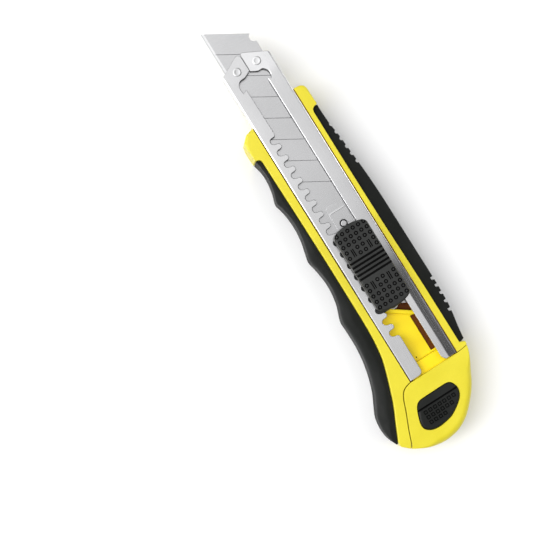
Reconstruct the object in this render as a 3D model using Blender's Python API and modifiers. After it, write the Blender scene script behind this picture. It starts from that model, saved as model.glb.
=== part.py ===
"""An 18 mm snap-off knife with a spring-fed magazine, a steel blade rail and a removable end cap.

The knife lies on its flat back. X runs across it, +Y points to the blade tip, and +Z points out of
the side with the thumb pad. Outlines are in millimetres, with y counted from the rail's rear end.
The origin is on the flat back, on the oval boss, under the rail's centre line.
"""

import math

import bmesh
import bpy
from mathutils import Matrix, Vector

MM = 0.001

# Driving sizes
RAIL_REAR_Y = -58.6
GAP = 0.3
FIT = 0.15

BODY_TOP = 16.8
GRIP_BACK = 2.2
SHELL_BACK = GRIP_BACK + FIT
SHELL_FLOOR_TOP = 4.5
SHELF_Z = 10.85

RAIL_HALF = 11.0
RAIL_SHEET = 0.6
RAIL_BOTTOM = 11.0
RAIL_TOP = 17.2
RAIL_SHOULDER_Y = 142.3
RAIL_NOSE_Y = 147.2
RAIL_INSIDE_HALF = RAIL_HALF - RAIL_SHEET
RAIL_FLOOR_TOP = RAIL_BOTTOM + RAIL_SHEET
LIP_UNDERSIDE = RAIL_TOP - RAIL_SHEET
SLOT_LEFT, SLOT_RIGHT = -4.9, 4.7

NOTCH_PITCH = 5.3
NOTCH_FIRST_Y = 19.9
NOTCH_COUNT = 18
NOTCH_ROOT_X = -8.0
LOCK_NOTCH = 5

BLADE_WIDTH = 18.0
BLADE_EDGE_LENGTH = 95.0
BLADE_THICKNESS = 0.5
BLADE_TIP_Y = 162.2
BLADE_Z = 14.95
BLADE_SLANT = math.tan(math.radians(30))
SEGMENT = 10.0
SEGMENT_COUNT = 8
HOLE_FROM_TIP = 94.6
STACK_STEP = 0.6
SPARE_SHIFT = -32.0

BED_TOP = 12.35
FOLLOWER_Z = (13.05, 13.4)
CARRIER_Z = (15.35, 16.45)
PAD_Z = (17.4, 21.5)
CATCH_ROOT_Y = 41.8
CATCH_Z = (15.3, 15.6)

RIVET_YS = (30.0, 112.0)
BUTTON_SPRING_XY = (-8.0, -14.5)

YELLOW = (0.90, 0.80, 0.05, 1)
BED_YELLOW = (0.85, 0.62, 0.03, 1)
BLACK = (0.02, 0.021, 0.02, 1)
STEEL = (0.60, 0.60, 0.61, 1)
DARK_STEEL = (0.32, 0.32, 0.33, 1)

# Outlines of the body, with y from the rail's rear end
SPINE_SIDE = [
    (16.3, 113.9), (16.6, 105.7), (17.4, 98.7), (18.0, 90.7), (18.7, 80.7), (19.1, 70.7),
    (19.2, 60.7), (19.3, 45.7), (19.4, 30.7), (19.2, 20.7), (18.6, 14.7), (17.6, 8.7), (16.8, 3.0),
]
TAIL_SIDE = [
    (16.6, 1.6), (15.3, -2.9), (12.9, -8.7), (9.8, -14.6), (5.7, -19.8), (0.9, -24.3),
    (-3.9, -26.9), (-9.0, -28.0), (-14.2, -27.8), (-19.2, -26.1), (-24.7, -23.1),
]
FINGER_SIDE = [
    (-28.9, -18.7), (-29.8, -16.2), (-30.3, -13.0), (-30.2, -9.8), (-29.4, -6.0), (-27.6, -2.3),
    (-25.2, 2.7), (-23.2, 8.7), (-21.7, 15.7), (-21.0, 22.7), (-21.0, 29.5), (-21.0, 34.2),
    (-18.9, 40.2), (-17.9, 45.7), (-17.7, 50.7), (-18.4, 56.7), (-19.3, 61.7), (-18.3, 66.2),
    (-17.3, 70.7), (-16.8, 75.7), (-16.9, 80.7), (-17.7, 85.7), (-18.4, 88.7), (-17.2, 92.7),
    (-16.5, 96.2), (-16.2, 99.7), (-16.4, 103.7), (-17.0, 107.0),
]
BACK_PANEL_END = [
    (14.5, 2.3), (11.5, 0.7), (9.5, -1.8), (8.5, -5.2), (7.0, -9.5), (4.0, -14.8), (0.0, -19.0),
    (-4.0, -21.5), (-9.0, -22.8), (-14.0, -22.0), (-19.0, -20.1), (-22.0, -18.5), (-25.0, -18.0),
    (-27.0, -18.9),
]
SHELL_SPINE = [(13.3, 118.0), (13.3, 90.0), (13.5, 60.0), (14.0, 30.0), (14.1, 0.4)]
SHELL_FINGER = [
    (-27.9, -18.0), (-25.0, -11.6), (-22.0, -5.2), (-20.0, 0.0), (-17.3, 8.0), (-15.5, 15.0),
    (-14.5, 25.0), (-14.3, 40.0), (-14.3, 60.0), (-14.5, 80.0), (-14.8, 100.0), (-14.9, 118.0),
]
CAP_SEAM = [
    (-12.0, -0.3), (-14.9, -1.4), (-17.0, -4.0), (-19.4, -10.0), (-21.7, -15.3), (-24.0, -21.2),
    (-25.1, -22.8),
]
SHELL_CORNER = [
    (-24.0, -21.2), (-25.1, -22.8), (-28.0, -20.1), (-27.0, -19.4), (-25.1, -18.4), (-23.3, -18.8),
]
COLLAR = [
    (16.2, 114.3), (16.2, 121.8), (15.6, 123.2), (14.3, 124.0), (12.0, 124.2), (-10.0, 119.5),
    (-14.6, 118.1), (-17.0, 115.9), (-17.4, 113.0), (-17.2, 107.4), (-6.0, 109.6), (6.0, 112.2),
]
BUTTON = [
    (0.5, -8.1), (2.5, -8.8), (3.8, -11.0), (3.8, -13.5), (2.5, -16.0), (-0.5, -18.5), (-4.0, -20.5),
    (-8.0, -21.4), (-11.0, -21.6), (-14.0, -21.0), (-16.2, -19.3), (-16.7, -17.2), (-16.2, -14.8),
    (-15.2, -12.0), (-14.2, -10.0), (-12.8, -8.7), (-10.6, -8.2), (-5.0, -8.1),
]
CAP_HOLLOW = [
    (9.8, 2.0), (9.8, -2.0), (9.9, -8.3), (6.9, -13.0), (3.0, -17.6), (-1.2, -21.6), (-5.0, -23.4),
    (-9.3, -24.4), (-13.6, -24.1), (-18.2, -22.6), (-21.6, -20.4), (-19.4, -15.3), (-16.9, -10.2),
    (-14.4, -4.9), (-12.9, -3.2), (-9.8, -2.6), (-9.8, 2.0),
]
BUTTON_CENTRE = (-6.6, -14.8)
OVAL_CENTRE = (1.6, 58.6)
OVAL_HALF = (8.9, 21.9)


def clear_scene():
    for old in list(bpy.data.objects):
        bpy.data.objects.remove(old, do_unlink=True)


def new_collection(name, hidden=False):
    group = bpy.data.collections.new(name)
    group.hide_render = hidden
    bpy.context.scene.collection.children.link(group)
    return group


def new_material(name, colour, roughness, metallic):
    material = bpy.data.materials.new(name)
    material.use_nodes = True
    shader = material.node_tree.nodes["Principled BSDF"]
    shader.inputs["Base Color"].default_value = colour
    shader.inputs["Roughness"].default_value = roughness
    shader.inputs["Metallic"].default_value = metallic
    material.diffuse_color = colour
    return material


clear_scene()
KNIFE = new_collection("snap_off_knife")
TOOLS = new_collection("cutters", hidden=True)


def place(name, mesh):
    """A helper solid, kept out of the knife until it is claimed with a material."""
    thing = bpy.data.objects.new(name, mesh)
    thing.location.y = RAIL_REAR_Y * MM
    thing.hide_render = True
    thing.display_type = "WIRE"
    TOOLS.objects.link(thing)
    return thing


def claim(thing, colour, roughness, metallic):
    """Turns a helper solid into a piece of the knife, with its own material."""
    TOOLS.objects.unlink(thing)
    KNIFE.objects.link(thing)
    thing.hide_render = False
    thing.display_type = "TEXTURED"
    thing.data.materials.clear()
    thing.data.materials.append(new_material(thing.name, colour, roughness, metallic))
    thing.data.shade_smooth()
    thing.data.set_sharp_from_angle(angle=math.radians(35))
    return thing


def bmesh_to_object(name, bm):
    bmesh.ops.recalc_face_normals(bm, faces=bm.faces)
    mesh = bpy.data.meshes.new(name)
    bm.to_mesh(mesh)
    bm.free()
    return place(name, mesh)


def plate(name, outline, z_low, z_high):
    """A flat outline given a thickness: a filled 2D curve, turned into one closed mesh."""
    curve = bpy.data.curves.new(name, "CURVE")
    curve.dimensions = "2D"
    curve.fill_mode = "BOTH"
    curve.extrude = (z_high - z_low) / 2 * MM
    spline = curve.splines.new("POLY")
    spline.points.add(len(outline) - 1)
    for point, (x, y) in zip(spline.points, outline):
        point.co = (x * MM, y * MM, 0, 1)
    spline.use_cyclic_u = True
    guide = bpy.data.objects.new(name + "_curve", curve)
    bpy.context.scene.collection.objects.link(guide)
    graph = bpy.context.evaluated_depsgraph_get()
    mesh = bpy.data.meshes.new_from_object(guide.evaluated_get(graph))
    bpy.data.objects.remove(guide)
    bm = bmesh.new()
    bm.from_mesh(mesh)
    bmesh.ops.remove_doubles(bm, verts=bm.verts, dist=1e-6)
    bmesh.ops.dissolve_limit(bm, angle_limit=1e-3, verts=bm.verts, edges=bm.edges)
    bmesh.ops.translate(bm, verts=bm.verts, vec=(0, 0, (z_high + z_low) / 2 * MM))
    return bmesh_to_object(name, bm)


def box(name, xs, ys, zs):
    bm = bmesh.new()
    bmesh.ops.create_cube(bm, size=1)
    sizes = [(high - low) * MM for low, high in (xs, ys, zs)]
    middle = [(high + low) / 2 * MM for low, high in (xs, ys, zs)]
    bmesh.ops.scale(bm, verts=bm.verts, vec=sizes)
    bmesh.ops.translate(bm, verts=bm.verts, vec=middle)
    return bmesh_to_object(name, bm)


def cylinder(name, centre, radius, zs, segments=16, top_radius=None):
    bm = bmesh.new()
    bmesh.ops.create_cone(
        bm, cap_ends=True, segments=segments, depth=(zs[1] - zs[0]) * MM, radius1=radius * MM,
        radius2=(radius if top_radius is None else top_radius) * MM,
    )
    bmesh.ops.translate(bm, verts=bm.verts, vec=(centre[0] * MM, centre[1] * MM, sum(zs) / 2 * MM))
    return bmesh_to_object(name, bm)


def combine(target, tools, operation):
    for tool in tools:
        step = target.modifiers.new(tool.name, "BOOLEAN")
        step.operation = operation
        step.object = tool
    return target


def cut(target, *tools):
    return combine(target, tools, "DIFFERENCE")


def join(target, *tools):
    return combine(target, tools, "UNION")


def bevel(thing, width, segments=2, angle=40):
    step = thing.modifiers.new("rounding", "BEVEL")
    step.width = width * MM
    step.segments = segments
    step.limit_method = "ANGLE"
    step.angle_limit = math.radians(angle)
    return thing


def arc(centre, radius, start, end, steps):
    """Points along a circle, from one angle to another, in degrees."""
    angles = [math.radians(start + (end - start) * i / steps) for i in range(steps + 1)]
    return [(centre[0] + radius * math.cos(a), centre[1] + radius * math.sin(a)) for a in angles]


def oval(centre, half, steps):
    angles = [2 * math.pi * i / steps for i in range(steps)]
    return [(centre[0] + half[0] * math.cos(a), centre[1] + half[1] * math.sin(a)) for a in angles]


def smooth(points, steps=2):
    """A Catmull-Rom curve through the points."""
    padded = [Vector(p) for p in [points[0], *points, points[-1]]]
    found = []
    for a, b, c, d in zip(padded, padded[1:], padded[2:], padded[3:]):
        for i in range(steps):
            t = i / steps
            p = b + 0.5 * t * ((c - a) + t * ((2 * a - 5 * b + 4 * c - d) + t * (3 * (b - c) + d - a)))
            found.append((p.x, p.y))
    return found + [tuple(points[-1])]


def shifted(points, dx=0.0, dy=0.0):
    return [(x + dx, y + dy) for x, y in points]


def grown(points, amount, centre):
    """The outline moved outwards from its centre by an amount."""
    found = []
    for point in points:
        out = Vector(point) - Vector(centre)
        found.append(tuple(Vector(point) + out.normalized() * amount))
    return found


def handle_shell():
    walls = SHELL_SPINE + [(11.7, -0.1)] + CAP_SEAM + [SHELL_CORNER[2]] + SHELL_FINGER
    floor_end = shifted([p for p in BACK_PANEL_END if p[0] < 13], -0.3, 1.2)
    floor = SHELL_SPINE[:-1] + [(13.9, 3.6)] + floor_end + SHELL_FINGER[1:]
    shell = plate("handle_shell", walls, SHELL_BACK, BODY_TOP)
    collar = bevel(plate("shell_collar", COLLAR, 0.3, BODY_TOP), 1.2)
    boss = plate("shell_boss", oval(OVAL_CENTRE, OVAL_HALF, 36), 0.0, SHELL_FLOOR_TOP)
    join(
        shell,
        plate("shell_floor", floor, SHELL_BACK, SHELL_FLOOR_TOP),
        plate("shell_corner", SHELL_CORNER, 0.4, SHELL_FLOOR_TOP),
        collar,
        boss,
    )
    cut(shell, box("rail_channel", (-RAIL_HALF - GAP, RAIL_HALF + GAP), (-1, 130), (SHELF_Z, 20)))
    for i, (low, high) in enumerate(((13, 26), (34, 48), (51, 65), (68, 82), (85, 95), (98, 108))):
        cut(shell, box(f"weight_pocket_{i}", (-9, 9), (low, high), (SHELL_FLOOR_TOP, 12)))
    cut(shell, box("latch_pocket", (-5.3, 5.3), (-2, 10.5), (6.5, 12)))
    for i, y in enumerate(RIVET_YS):
        cut(shell, cylinder(f"rivet_bore_{i}", (0, y), 1.3, (7.5, 12)))
    return claim(shell, YELLOW, 0.35, 0.0)


def grip_notches():
    """Scallops high on the spine side and square notches low on it."""
    notches = []
    for i, y in enumerate((104.2, 100.5, 97.2, 93.3, 89.9, 86.2)):
        x = 17.65 + 1.2 * (104.2 - y) / 18
        notches.append(cylinder(f"scallop_{i}", (x, y), 1.0, (-1, 17), segments=8))
    for i, y in enumerate((30.0, 26.7, 23.2, 19.4, 15.7)):
        x = 18.6 if y > 21 else 18.6 - 0.12 * (21 - y)
        notches.append(box(f"notch_{i}", (x, x + 3), (y - 0.8, y + 0.8), (-1, 17)))
    return notches


def rubber_grip():
    outline = smooth(SPINE_SIDE) + smooth(BACK_PANEL_END) + smooth(FINGER_SIDE)
    grip = bevel(plate("rubber_grip", outline, 0.0, 15.2), 1.6, angle=60)
    cut(grip, *grip_notches())
    inside = [(x + FIT, y) for x, y in SHELL_SPINE[1:-1]]
    inside += [(14.1 + FIT, 2.9), (17.5, 1.5), (17.5, -32), (-30.0, -32), (-28.4, -18.9)]
    inside += [(x - FIT, y) for x, y in SHELL_FINGER]
    inside[0] = (13.3 + FIT, 118.0)
    cut(grip, plate("shell_space", inside, GRIP_BACK, 20))
    window = (OVAL_HALF[0] + FIT, OVAL_HALF[1] + FIT)
    cut(grip, plate("oval_window", oval(OVAL_CENTRE, window, 36), -1, 5))
    return claim(grip, BLACK, 0.6, 0.0)


def rail_footprint(half, nose_y):
    shoulder_y = RAIL_SHOULDER_Y + (nose_y - RAIL_NOSE_Y)
    return [(-half, 0), (half, 0), (half, shoulder_y), (1.0, nose_y), (-1.8, nose_y), (-half, shoulder_y)]


def slot_outline():
    """The slot between the rail's lips: notched on its left, and wider just behind the nose."""
    right = [
        (6.0, -1.0), (6.0, 0.0), (SLOT_RIGHT, 2.0), (SLOT_RIGHT, 132.8), (6.0, 132.2), (6.6, 133.5),
        (6.5, 135.5), (5.0, 137.3), (3.0, 137.4), (0.2, 138.9),
    ]
    left = [(-0.2, 139.1), (-3.0, 137.7), (-5.5, 137.4), (-7.0, 135.5), (-6.9, 132.5), (SLOT_LEFT, 133.0)]
    for i in reversed(range(NOTCH_COUNT)):
        y = NOTCH_FIRST_Y + NOTCH_PITCH * i
        left += [
            (SLOT_LEFT, y + 1.9), (-5.3, y + 1.5), (-7.6, y + 1.2), (NOTCH_ROOT_X, y + 0.6),
            (NOTCH_ROOT_X, y - 0.4), (-7.4, y - 1.2), (-5.6, y - 1.6), (SLOT_LEFT, y - 2.4),
        ]
    return right + left + [(SLOT_LEFT, 1.6), (-6.6, 0.0), (-6.6, -1.0)]


def blade_rail():
    outline = rail_footprint(RAIL_HALF, RAIL_NOSE_Y)
    rail = bevel(plate("blade_rail", outline, RAIL_BOTTOM, RAIL_TOP), 0.5, segments=2, angle=80)
    inside = (-RAIL_INSIDE_HALF, RAIL_INSIDE_HALF)
    cut(
        rail,
        box("rail_hollow", inside, (-2, 160), (RAIL_FLOOR_TOP, LIP_UNDERSIDE)),
        plate("rail_slot", slot_outline(), RAIL_FLOOR_TOP + 2, RAIL_TOP + 1),
        box("tab_seam", (-0.12, 0.12), (136, 150), (RAIL_FLOOR_TOP + 2, RAIL_TOP + 1)),
        box("latch_window", (-5, 5), (4, 7.5), (RAIL_BOTTOM - 1, RAIL_FLOOR_TOP + 1)),
        *[cylinder(f"rail_hole_{i}", (0, y), 1.3, (10, 12)) for i, y in enumerate(RIVET_YS)],
    )
    for i, x in enumerate((-4.6, 4.6)):
        join(rail, cylinder(f"tab_dimple_{i}", (x, 141.2), 1.6, (RAIL_TOP - 0.3, RAIL_TOP + 0.25), 16, 0.9))
    return claim(rail, STEEL, 0.3, 1.0)


def rail_rivet(index):
    y = RIVET_YS[index]
    rivet = cylinder(f"rail_rivet_{index + 1}", (0, y), 1.1, (7.8, 12.0))
    join(rivet, cylinder(f"rivet_head_{index}", (0, y), 2.2, (RAIL_FLOOR_TOP + 0.1, BED_TOP - 0.05), 16, 1.8))
    return claim(rivet, DARK_STEEL, 0.35, 1.0)


def nose_guide():
    """The support under the blade, with a ramp for the spare blades and a V ahead of the rail's."""
    half = 9.9
    sides = [(half, 142.0), (8.6, 145.4)]
    outline = [(-half, 131.8), (half, 131.8), *sides, (1.2, 149.2), (-1.8, 149.2)]
    outline += [(-x, y) for x, y in sides[::-1]]
    guide = plate("nose_guide", outline, RAIL_FLOOR_TOP + FIT, 14.55)
    ramp = box("guide_ramp", (-12, 12), (-3, 3), (-3, 0))
    ramp.location = (0, (RAIL_REAR_Y + 131.2) * MM, 14.2 * MM)
    ramp.rotation_euler.x = math.radians(155)
    cut(guide, ramp)
    return claim(guide, BED_YELLOW, 0.4, 0.0)


def magazine_bed():
    bed_bottom = RAIL_FLOOR_TOP + FIT
    half = RAIL_INSIDE_HALF - GAP
    bed = box("magazine_bed", (-half, half), (5.2, 131.4), (bed_bottom, BED_TOP))
    rib_half = 9.4
    rib_x = (-rib_half, rib_half)
    rib = [(x, 26.0 - x * 0.7 + side) for side in (-1.0, 1.0) for x in rib_x[:: int(-side)]]
    tools = [plate("stop_rib", rib, bed_bottom + 0.2, 14.5)]
    for side in (-1, 1):
        xs = sorted((side * (half - 0.7), side * half))
        tools.append(box(f"bed_wall_{side}", xs, (5.2, 131.4), (bed_bottom, 14.5)))
    join(bed, *tools)
    cut(
        bed,
        box("loading_slot", (3.3, 4.9), (6.4, 21.2), (10, 15)),
        cylinder("bed_pin_hole", (-3.9, 6.6), 0.4, (10, 15), segments=8),
        *[cylinder(f"bed_hole_{i}", (0, y), 2.6, (10, 13)) for i, y in enumerate(RIVET_YS)],
    )
    return claim(bed, BED_YELLOW, 0.4, 0.0)


def magazine_spring():
    """A bowed leaf: its ends stand on the bed and its crown lifts the follower."""
    half_length, rise, sheet, half_width = 30.0, 0.4, 0.15, 3.0
    stations = [half_length * (2 * i / 16 - 1) for i in range(17)]
    lower = [(y, BED_TOP + 0.06 + rise * (1 - (y / half_length) ** 2)) for y in stations]
    upper = [(y, z + sheet) for y, z in reversed(lower)]
    leaf = plate("magazine_spring", lower + upper, -half_width, half_width)
    turn = Matrix(((0, 0, 1, 0), (1, 0, 0, 0), (0, 1, 0, 0), (0, 0, 0, 1)))
    leaf.data.transform(turn)
    leaf.data.transform(Matrix.Translation((0, 76 * MM, 0)))
    return claim(leaf, DARK_STEEL, 0.3, 1.0)


def slanted(half, y_front, y_rear):
    """A strip whose two ends have the blade's slant; the y values are at the centre line."""
    drop = half * BLADE_SLANT
    return [(-half, y_rear + drop), (half, y_rear - drop), (half, y_front - drop), (-half, y_front + drop)]


def follower_plate():
    follower = plate("follower_plate", slanted(8.4, 122.0, 34.0), *FOLLOWER_Z)
    return claim(follower, BLACK, 0.5, 0.0)


def blade_mesh():
    """A blade about its own tip corner's height: a tapered section swept along and sheared to 30 degrees."""
    half, edge, bevel_width = BLADE_WIDTH / 2, 0.04, 1.3
    thick = BLADE_THICKNESS / 2
    section = [
        (-half, -edge), (-half + bevel_width, -thick), (half, -thick),
        (half, thick), (-half + bevel_width, thick), (-half, edge),
    ]
    blade = plate("blade_blank", section, 0, BLADE_EDGE_LENGTH)
    blade.data.transform(Matrix(((1, 0, 0, 0), (0, 0, 1, 0), (0, 1, 0, 0), (0, 0, 0, 1))))
    front_y = BLADE_TIP_Y - half * BLADE_SLANT
    lift = front_y - BLADE_EDGE_LENGTH
    shear = Matrix(((1, 0, 0, 0), (-BLADE_SLANT, 1, 0, lift * MM), (0, 0, 1, 0), (0, 0, 0, 1)))
    blade.data.transform(shear)
    blade.data.flip_normals()
    for i in range(SEGMENT_COUNT):
        y = front_y - SEGMENT * i
        back_y = y - half * BLADE_SLANT
        cut(blade, cylinder(f"bite_{i}", (half, back_y - 1.4), 1.95, (-1, 1), segments=12))
        if i > 0:
            groove = box(f"score_{i}", (-12, 12), (-0.15, 0.15), (thick - 0.1, 1))
            groove.location.y += (y + 0.3) * MM
            groove.rotation_euler.z = -math.radians(30)
            cut(blade, groove)
    cut(blade, cylinder("blade_hole", (0, BLADE_TIP_Y - HOLE_FROM_TIP), 1.7, (-1, 1)))
    graph = bpy.context.evaluated_depsgraph_get()
    mesh = bpy.data.meshes.new_from_object(blade.evaluated_get(graph))
    bpy.data.objects.remove(blade)
    return mesh


def blade(name, mesh, shift, z):
    thing = place(name, mesh.copy())
    thing.location.y += shift * MM
    thing.location.z = z * MM
    return claim(thing, STEEL, 0.28, 1.0)


def lock_recess():
    return box("lock_recess", (-7.0, -2.2), (36.0, 56.8), (CARRIER_Z[1], 17.3))


def slider_carrier():
    """The plate under the lips, with a channel for the catch leaf and a neck up through the slot."""
    carrier = bevel(box("slider_carrier", (-10, 10), (28.6, 65.2), CARRIER_Z), 0.3, segments=1)
    neck = box("carrier_neck", (-4.6, 4.4), (31, 64), (CARRIER_Z[0] + 0.5, PAD_Z[0] - FIT))
    studs = [cylinder(f"carrier_stud_{i}", (0, y), 1.4, (17, 19.2)) for i, y in enumerate((33.4, 60.6))]
    join(carrier, neck, *studs)
    cut(
        carrier,
        box("catch_channel", (-3.8, 4.4), (CATCH_ROOT_Y - 0.4, 70), (15, CARRIER_Z[1] - 0.05)),
        lock_recess(),
    )
    return claim(carrier, BLACK, 0.5, 0.0)


def pad_outline():
    """Straight sides and two wide arcs for the ends."""
    half, low, high, bulge = 7.6, 30.2, 64.2, 2.3
    radius = (half**2 + bulge**2) / (2 * bulge)
    swing = math.degrees(math.asin(half / radius))
    front = arc((0, high + bulge - radius), radius, 90 - swing, 90 + swing, 10)
    rear = arc((0, low - bulge + radius), radius, 270 - swing, 270 + swing, 10)
    return front + rear


def thumb_pad():
    pad = bevel(plate("thumb_pad", pad_outline(), *PAD_Z), 0.8, segments=2, angle=50)
    for i, y in enumerate((33.4, 60.6)):
        cut(pad, cylinder(f"stud_hole_{i}", (0, y), 1.55, (17, 19.4)))
    for i, y in enumerate((44.4, 46.2, 48.0, 49.8, 51.6)):
        cut(pad, box(f"pad_groove_{i}", (-9, 9), (y - 0.45, y + 0.45), (PAD_Z[1] - 0.5, 24)))
    return claim(pad, BLACK, 0.6, 0.0)


def lock_spring():
    """A leaf that stands in the carrier's neck, with a nose for the lip's notches."""
    nose_y = NOTCH_FIRST_Y + NOTCH_PITCH * LOCK_NOTCH
    reach, bow, sheet = 9.4, 0.5, 0.3
    stations = [reach * (2 * i / 8 - 1) for i in range(9)]
    inner = [(-2.55 - bow * (1 - (y / reach) ** 2), nose_y + y) for y in stations]
    outer = [(x - sheet, y) for x, y in reversed(inner)]
    leaf = plate("lock_spring", inner + outer, CARRIER_Z[1] + FIT, LIP_UNDERSIDE + RAIL_SHEET)
    nose = [(-3.1, nose_y - 0.9), (-3.1, nose_y + 0.9), (-4.2, nose_y + 0.8), (-4.7, nose_y + 0.3),
            (-4.7, nose_y - 0.3), (-4.2, nose_y - 0.8)]
    join(leaf, plate("lock_nose", nose, CARRIER_Z[1] + FIT, LIP_UNDERSIDE + RAIL_SHEET))
    return claim(leaf, STEEL, 0.3, 1.0)


def catch_spring():
    """The leaf whose dimple drops into the blade's hole; its origin is on its bend line."""
    hole_y = BLADE_TIP_Y - HOLE_FROM_TIP
    leaf = box("catch_spring", (-3.4, 4.0), (CATCH_ROOT_Y, 76.6), CATCH_Z)
    join(leaf, cylinder("catch_pin", (0, hole_y), 1.35, (BLADE_Z, CATCH_Z[0] + 0.1), 16))
    cut(leaf, cylinder("catch_dimple", (0, hole_y), 0.8, (CATCH_Z[0] - 0.1, CATCH_Z[1] + 0.2), 16, 1.1))
    root = Vector((0, CATCH_ROOT_Y * MM, sum(CATCH_Z) / 2 * MM))
    leaf.data.transform(Matrix.Translation(-root))
    for step in leaf.modifiers:
        step.object.data.transform(Matrix.Translation(-root))
        step.object.location += root
    leaf.location += root
    return claim(leaf, STEEL, 0.3, 1.0)


def end_cap():
    seam = [(x + 0.3, y - 0.3) for x, y in CAP_SEAM[:-1]] + [(-24.7, -23.1)]
    face = [(11.7, -0.6), (14.4, -0.1), (16.2, 1.1)] + smooth(TAIL_SIDE)[:-1] + seam[::-1]
    cap = bevel(plate("end_cap", face, SHELL_FLOOR_TOP + GAP, BODY_TOP), 0.8, segments=2, angle=70)
    under = shifted([p for p in BACK_PANEL_END if -22 < p[0] < 10], 0.1, -0.4)
    rim = [(10.6, -0.6), (14.4, -0.1), (16.2, 1.1), *TAIL_SIDE[1:], (-23.6, -21.5), (-22.5, -18.9)]
    rim += under[::-1]
    join(cap, plate("cap_rim", rim, 0.4, SHELL_FLOOR_TOP + 1.5))
    cut(cap, plate("cap_hollow", CAP_HOLLOW, 6.3, 15.0), plate("button_well", smooth(BUTTON), 14, 20))
    return claim(cap, YELLOW, 0.35, 0.0)


def cap_guide():
    guide = bevel(box("cap_guide", (-9.5, 9.5), (-5, 4.8), (RAIL_FLOOR_TOP + FIT, 14.6)), 0.3, segments=1)
    return claim(guide, YELLOW, 0.4, 0.0)


def cap_button():
    head = grown(smooth(BUTTON), -0.3, BUTTON_CENTRE)
    button = bevel(plate("cap_button", head, 13.2, 17.5), 0.5, segments=2, angle=60)
    join(button, plate("button_flange", grown(BUTTON, 0.8, BUTTON_CENTRE), 13.1, 14.7))
    cut(button, box("finger_step", (-20, 6), (-11.9, -11.2), (17.0, 18)))
    return claim(button, BLACK, 0.6, 0.0)


def cap_latch():
    """An arm that reaches under the rail's rear end, with a tooth below the rail's latch window."""
    latch = box("cap_latch", (-3, 4), (-13.5, 8), (8.6, 9.9))
    join(
        latch,
        box("latch_post", (-2, 2.6), (-13.5, -10), (9, 12.95)),
        box("latch_tooth", (-3, 4), (4.6, 6.8), (9.5, 10.7)),
    )
    return claim(latch, BLACK, 0.5, 0.0)


def cap_button_spring():
    """A coil of four turns as one wire."""
    turns, steps, radius, wire = 4, 12, 2.3, 0.35
    low, high = 6.3 + wire + 0.1, 13.1 - wire - 0.1
    curve = bpy.data.curves.new("cap_button_spring", "CURVE")
    curve.dimensions = "3D"
    curve.bevel_depth = wire * MM
    curve.bevel_resolution = 1
    curve.use_fill_caps = True
    spline = curve.splines.new("POLY")
    spline.points.add(turns * steps)
    for i, point in enumerate(spline.points):
        angle = 2 * math.pi * i / steps
        x = BUTTON_SPRING_XY[0] + radius * math.cos(angle)
        y = BUTTON_SPRING_XY[1] + radius * math.sin(angle)
        point.co = (x * MM, y * MM, (low + (high - low) * i / (turns * steps)) * MM, 1)
    guide = bpy.data.objects.new("coil_curve", curve)
    bpy.context.scene.collection.objects.link(guide)
    graph = bpy.context.evaluated_depsgraph_get()
    mesh = bpy.data.meshes.new_from_object(guide.evaluated_get(graph))
    bpy.data.objects.remove(guide)
    bm = bmesh.new()
    bm.from_mesh(mesh)
    bmesh.ops.remove_doubles(bm, verts=bm.verts, dist=1e-6)
    return claim(bmesh_to_object("cap_button_spring", bm), STEEL, 0.3, 1.0)


def build_knife():
    handle_shell()
    rubber_grip()
    blade_rail()
    for index in range(len(RIVET_YS)):
        rail_rivet(index)
    nose_guide()
    magazine_bed()
    magazine_spring()
    follower_plate()
    mesh = blade_mesh()
    blade("blade", mesh, 0, BLADE_Z)
    blade("spare_blade_1", mesh, SPARE_SHIFT, BLADE_Z - STACK_STEP)
    blade("spare_blade_2", mesh, SPARE_SHIFT, BLADE_Z - 2 * STACK_STEP)
    slider_carrier()
    thumb_pad()
    lock_spring()
    catch_spring()
    end_cap()
    cap_guide()
    cap_button()
    cap_latch()
    cap_button_spring()


build_knife()
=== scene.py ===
import math

import bmesh
import bpy
from mathutils import Matrix, Vector


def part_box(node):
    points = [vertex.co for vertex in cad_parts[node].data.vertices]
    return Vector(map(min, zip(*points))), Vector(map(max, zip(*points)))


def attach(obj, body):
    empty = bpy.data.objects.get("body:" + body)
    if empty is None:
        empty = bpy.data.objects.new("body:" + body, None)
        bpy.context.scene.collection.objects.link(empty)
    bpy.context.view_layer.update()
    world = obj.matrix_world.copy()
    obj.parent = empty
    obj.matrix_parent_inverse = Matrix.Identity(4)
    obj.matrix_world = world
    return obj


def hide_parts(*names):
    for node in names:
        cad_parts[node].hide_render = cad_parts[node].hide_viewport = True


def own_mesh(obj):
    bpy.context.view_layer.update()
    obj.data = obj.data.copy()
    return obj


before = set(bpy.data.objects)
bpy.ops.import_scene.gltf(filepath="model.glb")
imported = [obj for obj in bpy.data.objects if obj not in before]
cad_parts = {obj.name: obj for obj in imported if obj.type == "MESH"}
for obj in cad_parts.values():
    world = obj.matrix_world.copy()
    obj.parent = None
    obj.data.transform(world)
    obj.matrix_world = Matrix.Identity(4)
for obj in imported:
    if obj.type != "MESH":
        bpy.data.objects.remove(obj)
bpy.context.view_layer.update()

# Outlines below are in millimetres: x across the knife, y from the rail's rear end, z from the floor.
MM = 0.001
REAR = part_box("blade_rail")[0].y
RAIL_BOX = [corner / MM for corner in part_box("blade_rail")]
BLADE_BOX = [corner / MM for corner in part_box("blade")]
SHELL_BOX = [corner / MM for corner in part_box("handle_shell")]
PAD_BOX = [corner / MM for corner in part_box("thumb_pad")]
CARRIER_BOX = [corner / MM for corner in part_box("slider_carrier")]

BODY_TOP = SHELL_BOX[1].z
GRIP_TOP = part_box("rubber_grip")[1].z / MM
GRIP_BACK = 2.2
FIT = 0.15
SHELF_Z = 10.85
SHELL_FLOOR_TOP = 4.5

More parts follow.
